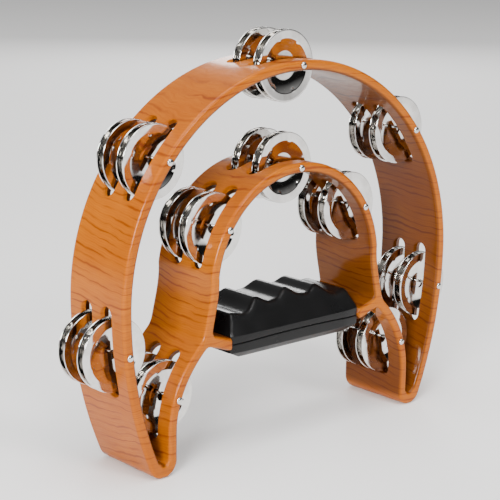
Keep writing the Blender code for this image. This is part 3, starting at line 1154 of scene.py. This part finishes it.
    def slot_levels(self, half: float) -> list[tuple[float, float]]:
        """Heights and widenings of a slot's cutter.

        Args:
            half: The strip's half thickness.

        Returns:
            Pairs of height off the middle line and widening, from the inside out.
        """
        lip = self.slot_lip
        rise = []
        for a in map(math.radians, self.lip_turns_deg):
            rise.append((half - lip * (1 - math.sin(a)), lip * (1 - math.cos(a))))
        rise.append((half + self.flare_rise, rise[-1][1] + self.flare_out))
        rise.append((half + self.slot_past, rise[-1][1]))
        return [(-w, grow) for w, grow in reversed(rise)] + rise

    def slot_cutter(self, name: str, ribbon: Ribbon, station: Point, side: int, y: float
                    ) -> bpy.types.Mesh:
        """Cutter of one slot, bent with the strip and flared at both faces.

        Args:
            name: The mesh's name.
            ribbon: Middle line of the strip.
            station: The station's place on the right half.
            side: 1 for the right half, -1 for the left.
            y: Middle of the slot.

        Returns:
            The mesh.
        """
        levels = self.slot_levels(ribbon.at(station, 0.0)[2])
        rings = []
        for w, grow in levels:
            ring = []
            for s, v in self.slot_ring(grow):
                spot, normal, _ = ribbon.at(station, s)
                place = spot + normal * w
                ring.append(Vector((side * place.x, y + v, place.y)))
            rings.append(ring)
        mesh = lofted(name, rings)
        bm = bmesh.new()
        bm.from_mesh(mesh)
        bmesh.ops.triangulate(bm, faces=[f for f in bm.faces if len(f.verts) > 4])
        bm.to_mesh(mesh)
        bm.free()
        return mesh

    def all_stations(self) -> list[tuple[str, str, int]]:
        """Name the ten stations.

        Returns:
            Full name, short name and side of each, with 1 for right and -1 for left.
        """
        rows = []
        for name, (x, _) in self.stations.items():
            if x == 0.0:
                rows.append((name, name, 1))
                continue
            rows += [("left_" + name, name, -1), ("right_" + name, name, 1)]
        return rows

    def slot_cutters(self) -> bpy.types.Mesh:
        """Make the cutter of all twenty slots.

        Returns:
            The mesh.
        """
        ribbons = self.ribbons()
        meshes = []
        for full, short, side in self.all_stations():
            ribbon = ribbons["leg" if short == "leg" else short.split("_")[0]]
            for y in (-self.slot_y, self.slot_y):
                meshes.append(self.slot_cutter(full, ribbon, self.stations[short], side, y))
        return merged("slots", meshes)

    def bore_cutters(self) -> bpy.types.Mesh:
        """Make the cutter of the ten nail bores, each with a shallow mouth under the head.

        Returns:
            The mesh.
        """
        face = -self.depth / 2
        profile = [(0.0, face - self.cutter_past), (self.bore_mouth_r, face - self.cutter_past),
                   (self.bore_mouth_r, face), (self.bore_r, face + self.bore_mouth_depth),
                   (self.bore_r, self.bore_end_y), (0.0, self.bore_end_y)]
        meshes = []
        for _, short, side in self.all_stations():
            x, z = self.stations[short]
            mesh = turned_mesh("bore", profile, 20)
            mesh.transform(Matrix.Translation((side * x, 0.0, z)))
            meshes.append(mesh)
        return merged("bores", meshes)

    def relief_cutters(self) -> bpy.types.Mesh:
        """Make the cutter that narrows the crossbar inside the grip.

        Returns:
            The mesh.
        """
        low, high = self.bar_flat[1] - self.bar_t, self.bar_knee[1] + self.bar_t
        x, near = self.bar_narrow_x, self.bar_depth_in_grip / 2
        far = self.depth / 2 + self.cutter_past
        loop = [(-x, low), (x, low), (x, high), (-x, high)]
        return merged("reliefs", [prism("relief", loop, -far, -near),
                                  prism("relief", loop, near, far)])

    def lay_normals(self, mesh: bpy.types.Mesh, shell: bpy.types.Mesh, normals: list[Vector]
                    ) -> None:
        """Give the printed faces the normals that they had before the slots were cut.

        Args:
            mesh: The cut mesh.
            shell: The mesh before cutting.
            normals: Normal at each point of the shell.
        """
        tree = BVHTree.FromPolygons([v.co for v in shell.vertices],
                                    [tuple(p.vertices) for p in shell.polygons])
        printed = set()
        for face in mesh.polygons:
            if face.material_index == 0:
                printed.update(face.vertices)
        laid = []
        for vertex in mesh.vertices:
            own = vertex.normal.copy()
            if vertex.index in printed:
                spot, _, face_index, _ = tree.find_nearest(vertex.co)
                corners = shell.polygons[face_index].vertices
                weights = poly_3d_calc([shell.vertices[i].co for i in corners], spot)
                blend = Vector()
                for i, weight in zip(corners, weights):
                    blend += normals[i] * weight
                own = blend.normalized() if blend.length > 1e-6 else own
            laid.append(own)
        mesh.shade_smooth()
        mesh.normals_split_custom_set_from_vertices(laid)

    def build(self, printed: bpy.types.Material, wall: bpy.types.Material) -> bpy.types.Object:
        """Make the frame.

        Args:
            printed: Finish of its faces.
            wall: Finish inside the slots, bare plastic darkened with painted shade.

        Returns:
            The frame, riding on the root body.
        """
        shell, normals = self.shell()
        body = shell.copy()
        mesh = cut("moulded_frame", body,
                   [self.relief_cutters(), self.slot_cutters(), self.bore_cutters()])
        self.lay_normals(mesh, shell, normals)
        mesh.materials.append(printed)
        mesh.materials.append(wall)
        item = mesh_object("moulded_frame", mesh)
        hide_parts("frame")
        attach(item, "root")
        LOG.info("frame: %d faces", len(mesh.polygons))
        return item


# ---- the grip -----------------------------------------------------------------------
@dataclass
class Grip:
    """Two black halves that close round the crossbar."""

    parting_z: float = 0.0656
    parting_bow: float = 0.0012
    parting_gap: float = 0.0003
    half_x: float = 0.0491
    top_half_x: float = 0.0446
    half_y: float = 0.0239
    end_half_y: float = 0.0226
    taper_x: float = 0.0360
    corner_r: float = 0.0020
    top_half_y: float = 0.0134
    skirt_z: float = 0.0692
    skirt_r: float = 0.0007
    shoulder_z: float = 0.0802
    shoulder_r: float = 0.0022
    groove_z: float = 0.0829
    groove_fall: float = 0.0038
    ridge_rise: float = 0.0043
    ridge_pinch: float = 1.7
    pitch: float = 0.0233
    lip_soft: float = 0.0042
    top_steps: int = 26
    under_z: float = 0.0558
    chamfer_z: float = 0.0598
    under_in_y: float = 0.0042
    under_in_x: float = 0.0085
    parting_edge: float = 0.0003
    parting_round: float = 0.0002
    knee_round: float = 0.0010
    under_round: float = 0.0012
    lean_start: float = 0.0012
    lean_past: float = 0.0008
    crease_depth: float = 0.0009
    full_lip_h: float = 0.0080
    least_lip: float = 0.1
    most_chamfer: float = 0.97
    taper_power: float = 1.6
    bunching: float = 1.6
    lip_bunching: float = 1.5
    middle_steps: int = 150
    end_steps: int = 26
    end_run: float = 0.0030
    room: float = 0.0003

    def half_depth(self, x: float) -> float:
        """Half depth, tapered and rounded at the ends.

        Args:
            x: Distance from the middle.

        Returns:
            The half depth there.
        """
        x = abs(x)
        taper = max(0.0, x - self.taper_x) / (self.half_x - self.taper_x)
        half = self.half_y - (self.half_y - self.end_half_y) * taper ** self.taper_power
        into = x - (self.half_x - self.corner_r)
        if into > 0:
            half -= self.corner_r - math.sqrt(max(0.0, self.corner_r ** 2 - into ** 2))
        return half

    def parting(self, x: float) -> float:
        """Height of the parting line."""
        return self.parting_z - self.parting_bow * (x / self.half_x) ** 2

    def top(self, x: float) -> float:
        """Height of the finger grooves, the shoulders and the sloping ends.

        Args:
            x: Distance from the middle.

        Returns:
            The height there.
        """
        x = abs(x)
        last = 1.5 * self.pitch
        if x <= last:
            wave = (1 + math.cos(2 * math.pi * x / self.pitch)) / 2
            floor = self.groove_z - self.groove_fall * (x / last) ** 2
            return floor + self.ridge_rise * wave ** self.ridge_pinch
        lowest = self.groove_z - self.groove_fall
        shoulder_x = self.top_half_x - self.shoulder_r
        t = min(1.0, (x - last) / (shoulder_x - last))
        level = lowest + (self.shoulder_z - lowest) * (1 - math.cos(math.pi * t)) / 2
        slope = (self.shoulder_z - self.skirt_z) / (self.half_x - self.top_half_x)
        return soft_min(level, self.shoulder_z + slope * (self.top_half_x - x), self.shoulder_r)

    def stations(self) -> list[float]:
        """Places along X of the grip's sections.

        Returns:
            The places, closer together near the ends.
        """
        inner = self.top_half_x - self.end_run
        count = self.middle_steps
        middle = [-inner + 2 * inner * i / count for i in range(count + 1)]
        end = []
        for i in range(1, self.end_steps + 1):
            t = i / self.end_steps
            end.append(inner + (self.half_x - inner) * (1 - (1 - t) ** self.bunching))
        return [-x for x in reversed(end)] + middle + end

    def upper_section(self, x: float) -> list[Vector]:
        """Ring round the upper half.

        Args:
            x: Where it is cut.

        Returns:
            Points of the closed ring.
        """
        half = self.half_depth(x)
        low = self.parting(x) + self.parting_gap / 2
        high = max(self.top(x), self.skirt_z - self.lean_start)
        rise = (self.groove_z + self.ridge_rise - self.skirt_z) / (self.half_y - self.top_half_y)
        crease = min(self.skirt_z, high - self.crease_depth)
        share = (high - crease) / self.full_lip_h
        soft = self.lip_soft * min(1.0, max(self.least_lip, share))
        edge, lean = self.parting_edge, self.lean_start
        corners = [(-half + edge, low), (-half, low + edge), (-half, crease),
                   (-half + lean, crease + lean * rise)]
        line = rounded_corners(corners, [0.0, self.parting_round, self.skirt_r, 0.0], 4)[:-1]
        span = half - self.lean_past
        for i in range(1, self.top_steps + 1):
            into = self.lean_past + span * (i / self.top_steps) ** self.lip_bunching
            line.append((-half + into, soft_min(crease + rise * into, high, soft)))
        ring = line + [(-y, z) for y, z in reversed(line[:-1])]
        return [Vector((x, y, z)) for y, z in ring]

    def lower_section(self, x: float) -> list[Vector]:
        """Ring round the lower half.

        Args:
            x: Where it is cut.

        Returns:
            Points of the closed ring.
        """
        half = self.half_depth(x)
        high = self.parting(x) - self.parting_gap / 2
        rise = max(0.0, abs(x) - (self.half_x - self.under_in_x)) / self.under_in_x
        low = self.under_z + (self.chamfer_z - self.under_z) * min(self.most_chamfer, rise)
        inset = self.under_in_y * (self.chamfer_z - low) / (self.chamfer_z - self.under_z)
        edge, tight = self.parting_edge, self.parting_round
        corners = [(-half + edge, high), (-half, high - edge), (-half, self.chamfer_z),
                   (-half + max(inset, tight), low), (0.0, low)]
        rounds = [0.0, tight, self.knee_round, self.under_round, 0.0]
        line = rounded_corners(corners, rounds, 5)
        ring = line + [(-y, z) for y, z in reversed(line[:-1])]
        return [Vector((x, y, z)) for y, z in ring]

    def bar_room(self, bar: MouldedFrame) -> bpy.types.Mesh:
        """Room for the crossbar.

        Args:
            bar: The frame, whose crossbar it is.

        Returns:
            A cutter.
        """
        top = [(x, z + self.room) for x, z in bar.bar_line(1)]
        under = [(x, z - self.room) for x, z in reversed(bar.bar_line(-1))]
        half_depth = bar.bar_depth_in_grip / 2 + self.room
        loop = mirrored(top + under)
        return prism("bar_room", loop, -half_depth, half_depth)

    def build(self, bar: MouldedFrame, finish: bpy.types.Material) -> list[bpy.types.Object]:
        """Make both halves.

        Args:
            bar: The frame that they close round.
            finish: Their material.

        Returns:
            The two halves, riding on the root body.
        """
        made = []
        rows = (("grip_top_shell", "grip_upper", self.upper_section),
                ("grip_bottom_shell", "grip_lower", self.lower_section))
        for name, node, section in rows:
            solid = lofted(name, [section(x) for x in self.stations()])
            mesh = cut(name, solid, [self.bar_room(bar)])
            for face in mesh.polygons:
                face.material_index = 0
            mesh.materials.append(finish)
            shade(mesh, 38)
            item = mesh_object(name, mesh)
            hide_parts(node)
            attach(item, "root")
            LOG.info("%s: %d faces", name, len(mesh.polygons))
            made.append(item)
        return made


# ---- nails and jingles --------------------------------------------------------------
@dataclass
class Nails:
    """Ten nails with domed heads, driven in from the front."""

    shank_r: float = 0.0008
    head_r: float = 0.00195
    head_h: float = 0.0010
    gap: float = 0.0003
    end_y: float = 0.0217
    point: float = 0.0020
    point_share: float = 0.4
    seat_share: float = 0.985
    dome_end_deg: float = 8.0
    dome_steps: int = 9
    segments: int = 32

    def mesh(self, face_y: float) -> bpy.types.Mesh:
        """Nail whose axis is the Y axis.

        Args:
            face_y: Front face of the frame.

        Returns:
            The mesh.
        """
        seat = face_y - self.gap
        dome = arc((0.0, 0.0), 1.0, 90, self.dome_end_deg, self.dome_steps)
        head = [(self.head_r * x, seat - self.head_h * z) for x, z in dome]
        rest = [(self.head_r * self.seat_share, seat), (self.shank_r, seat),
                (self.shank_r, self.end_y - self.point),
                (self.shank_r * self.point_share, self.end_y), (0.0, self.end_y)]
        return turned_mesh("nail_pin", head + rest, self.segments)

    def build(self, body: MouldedFrame, finish: bpy.types.Material) -> list[bpy.types.Object]:
        """Make a nail at each station.

        Args:
            body: The frame that holds them.
            finish: Their material.

        Returns:
            The nails, riding on the root body.
        """
        mesh = self.mesh(-body.depth / 2)
        mesh.materials.append(finish)
        shade(mesh, 40)
        made = []
        for full, short, side in body.all_stations():
            x, z = body.stations[short]
            item = mesh_object("nail_pin_" + full, mesh)
            item.location = (side * x, 0.0, z)
            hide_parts("nail_" + full)
            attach(item, "root")
            made.append(item)
        LOG.info("nails: %d", len(made))
        return made


@dataclass
class Jingles:
    """Forty pressed discs, in pairs back to back on the nails."""

    radius: float = 0.0200
    hole_r: float = 0.0026
    flat_r: float = 0.0080
    rim_r: float = 0.0153
    cup: float = 0.0020
    wall_lean: float = 0.4
    rim_rise: float = 0.00022
    roll_turns: tuple[float, ...] = (0.5, 1.1, math.pi / 2, 2.04, 2.64)
    sheet: float = 0.0006
    segments: int = 120
    dimples: int = 6
    dimple_at: float = 0.0143
    dimple_r: float = 0.0008
    dimple_h: float = 0.0003
    phases_deg: tuple[float, ...] = (3, 14, 27, 38, 52)
    tilt_deg: float = 0.2
    seed: int = 11

    def height(self, r: float) -> float:
        """Height of the sheet's outer side above the flat middle.

        Args:
            r: Distance from the axis.

        Returns:
            The height there.
        """
        t = min(1.0, max(0.0, (r - self.flat_r) / (self.rim_r - self.flat_r)))
        rim = max(0.0, r - self.rim_r) / (self.radius - self.rim_r) * self.rim_rise
        wall = self.wall_lean * t + (1 - self.wall_lean) * t * t
        return (self.cup - self.rim_rise / 2) * wall + rim

    def radii(self) -> list[float]:
        """Radii of the rings.

        Returns:
            The radii, close together where the sheet bends or is dimpled.
        """
        spots = [(self.hole_r, self.flat_r - 0.0006, 4),
                 (self.flat_r - 0.0004, self.flat_r + 0.0006, 4),
                 (self.flat_r + 0.0012, self.dimple_at - 0.0014, 5),
                 (self.dimple_at - 0.0010, self.rim_r + 0.0004, 9),
                 (self.rim_r + 0.0009, self.radius - 0.0003, 5)]
        found = []
        for start, end, steps in spots:
            found += [start + (end - start) * i / steps for i in range(steps + 1)]
        return found

    def mesh(self, phase: float) -> bpy.types.Mesh:
        """Disc about the Y axis, its cup opening towards +Y, with embossed dimples.

        Args:
            phase: Angle of the first dimple.

        Returns:
            The mesh.
        """
        radii = self.radii()
        edge = self.sheet / 2
        profile = [(r, self.height(r)) for r in radii]
        rim_y = self.height(self.radius) + edge
        profile += [(self.radius - edge + edge * math.sin(a), rim_y - edge * math.cos(a))
                    for a in self.roll_turns]
        profile += [(r, self.height(r) + self.sheet) for r in reversed(radii)]
        mesh = turned_mesh("jingle_disc", profile, self.segments)
        for vertex in mesh.vertices:
            x, _, z = vertex.co
            if math.hypot(x, z) > self.dimple_at + 3 * self.dimple_r:
                continue
            for k in range(self.dimples):
                a = phase + 2 * math.pi * k / self.dimples
                away = math.dist((x, z), (self.dimple_at * math.cos(a),
                                          self.dimple_at * math.sin(a)))
                vertex.co.y += self.dimple_h * math.exp(-(away / self.dimple_r) ** 2)
        return mesh

    def build(self, body: MouldedFrame, finish: bpy.types.Material) -> list[bpy.types.Object]:
        """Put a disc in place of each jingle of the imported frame.

        Args:
            body: The frame, for the names of its stations.
            finish: The discs' material.

        Returns:
            The discs, each riding on its own body.
        """
        meshes = [self.mesh(math.radians(step)) for step in self.phases_deg]
        for mesh in meshes:
            mesh.materials.append(finish)
            shade(mesh, 50)
        draw = random.Random(self.seed)
        made = []
        for full, _, _ in body.all_stations():
            for number in (1, 2, 3, 4):
                node = f"jingle_{full}_{number}"
                low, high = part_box(node)
                facing = Facing.FRONT if number % 2 else Facing.BACK
                flat_y = high.y if facing is Facing.FRONT else low.y
                turn = Matrix.Rotation(draw.randrange(4) * math.pi / 2, 4, "Y")
                tip = (Matrix.Rotation(math.radians(draw.uniform(-1, 1) * self.tilt_deg), 4, "X")
                       @ Matrix.Rotation(math.radians(draw.uniform(-1, 1) * self.tilt_deg), 4, "Z"))
                flip = Matrix.Rotation(math.pi, 4, "Z") if facing is Facing.FRONT else Matrix()
                place = Matrix.Translation(((low.x + high.x) / 2, flat_y, (low.z + high.z) / 2))
                item = mesh_object(f"jingle_disc_{full}_{number}", draw.choice(meshes))
                item.matrix_world = place @ tip @ flip @ turn
                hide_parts(node)
                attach(item, node)
                made.append(item)
        LOG.info("jingles: %d", len(made))
        return made


# ---- the studio ---------------------------------------------------------------------
@dataclass(frozen=True)
class Softbox:
    """Square area light that faces a point."""

    name: str
    place: tuple[float, float, float]
    size: float
    power: float
    colour: Colour = (1.0, 1.0, 1.0)

    def build(self, aim: Vector) -> bpy.types.Object:
        """Make the light.

        Args:
            aim: The point that it faces.

        Returns:
            The light.
        """
        data = bpy.data.lights.new(self.name, "AREA")
        data.shape = "SQUARE"
        data.size = self.size
        data.energy = self.power
        data.color = self.colour
        item = bpy.data.objects.new(self.name, data)
        bpy.context.scene.collection.objects.link(item)
        item.location = self.place
        item.rotation_mode = "QUATERNION"
        item.rotation_quaternion = (aim - Vector(self.place)).to_track_quat("-Z", "Y")
        return item


@dataclass
class Studio:
    """Pale floor, soft lights and the camera."""

    floor_colour: Colour = (0.90, 0.89, 0.88)
    floor_radius: float = 14.0
    lens: float = 106.03
    sensor: float = 36.0
    camera_place: tuple[float, float, float] = (-0.5507, -0.6018, 0.2967)
    azimuth: float = 0.72652
    elevation: float = 0.22928
    roll: float = 0.012263
    sky: Colour = (1.0, 1.0, 1.0)
    sky_low: Colour = (0.02, 0.02, 0.02)
    sky_strength: float = 0.50

    def floor(self) -> None:
        """Round floor, under the feet."""
        bm = bmesh.new()
        bmesh.ops.create_circle(bm, cap_ends=True, segments=96, radius=self.floor_radius)
        mesh = bpy.data.meshes.new("floor")
        bm.to_mesh(mesh)
        bm.free()
        sheet = NodeSheet("floor_paper")
        sheet.set(Base_Color=(*self.floor_colour, 1.0), Roughness=0.7)
        mesh.materials.append(sheet.material)
        item = mesh_object("floor", mesh)
        item.location.z = -0.0001
        item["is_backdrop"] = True

    def world(self) -> None:
        """Pale room that is darker near the horizon."""
        world = bpy.data.worlds.new("studio")
        world.use_nodes = True
        bpy.context.scene.world = world
        tree = world.node_tree
        tree.nodes.clear()
        coords = tree.nodes.new("ShaderNodeTexCoord")
        split = tree.nodes.new("ShaderNodeSeparateXYZ")
        ramp = tree.nodes.new("ShaderNodeValToRGB")
        background = tree.nodes.new("ShaderNodeBackground")
        output = tree.nodes.new("ShaderNodeOutputWorld")
        tree.links.new(coords.outputs["Generated"], split.inputs[0])
        tree.links.new(split.outputs["Z"], ramp.inputs["Fac"])
        tree.links.new(ramp.outputs["Color"], background.inputs["Color"])
        tree.links.new(background.outputs[0], output.inputs["Surface"])
        ramp.color_ramp.elements[0].position = 0.16
        ramp.color_ramp.elements[0].color = (*self.sky_low, 1.0)
        ramp.color_ramp.elements[1].position = 0.62
        ramp.color_ramp.elements[1].color = (*self.sky, 1.0)
        background.inputs["Strength"].default_value = self.sky_strength

    def camera(self) -> None:
        """Camera in front of the left leg, a little above the top."""
        az, el, roll = self.azimuth, self.elevation, self.roll
        ahead = Vector((math.sin(az) * math.cos(el), math.cos(az) * math.cos(el), -math.sin(el)))
        level = Vector((math.cos(az), -math.sin(az), 0.0))
        upright = level.cross(ahead)
        right = level * math.cos(roll) + upright * math.sin(roll)
        up = upright * math.cos(roll) - level * math.sin(roll)
        data = bpy.data.cameras.new("camera")
        data.lens = self.lens
        data.sensor_width = self.sensor
        data.clip_start = 0.01
        item = bpy.data.objects.new("camera", data)
        bpy.context.scene.collection.objects.link(item)
        item.matrix_world = Matrix((
            (right.x, up.x, -ahead.x, self.camera_place[0]),
            (right.y, up.y, -ahead.y, self.camera_place[1]),
            (right.z, up.z, -ahead.z, self.camera_place[2]),
            (0.0, 0.0, 0.0, 1.0),
        ))
        bpy.context.scene.camera = item

    def build(self, aim: Vector) -> None:
        """Make the floor, the room, the lights and the camera.

        Args:
            aim: Middle of the object.
        """
        self.camera()
        self.floor()
        self.world()
        lights = (
            Softbox("key_left", (-1.8, -1.1, 0.9), 0.7, 74.0),
            Softbox("front", (0.0, -2.1, 1.5), 0.7, 32.0),
            Softbox("overhead", (-0.4, -0.4, 3.6), 3.0, 150.0),
            Softbox("rim_right", (1.5, 1.7, 0.9), 0.6, 12.0),
        )
        for light in lights:
            light.build(aim)
        LOG.info("studio: %d lights", len(lights))


def main() -> None:
    """Build every piece in order."""
    logging.basicConfig(level=logging.INFO, format="%(name)s: %(message)s")
    cad_low, cad_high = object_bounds()
    body = MouldedFrame()
    body.build(WoodPrint().build(), SlotWallPaintedShade().build())
    Grip().build(body, BlackPlastic().build())
    Nails().build(body, BrightPlate("nail_plate", smooth=0.08, dull=0.16).build())
    Jingles().build(body, BrightPlate().build())
    Studio().build((cad_low + cad_high) / 2)


if __name__ == "__main__":
    main()
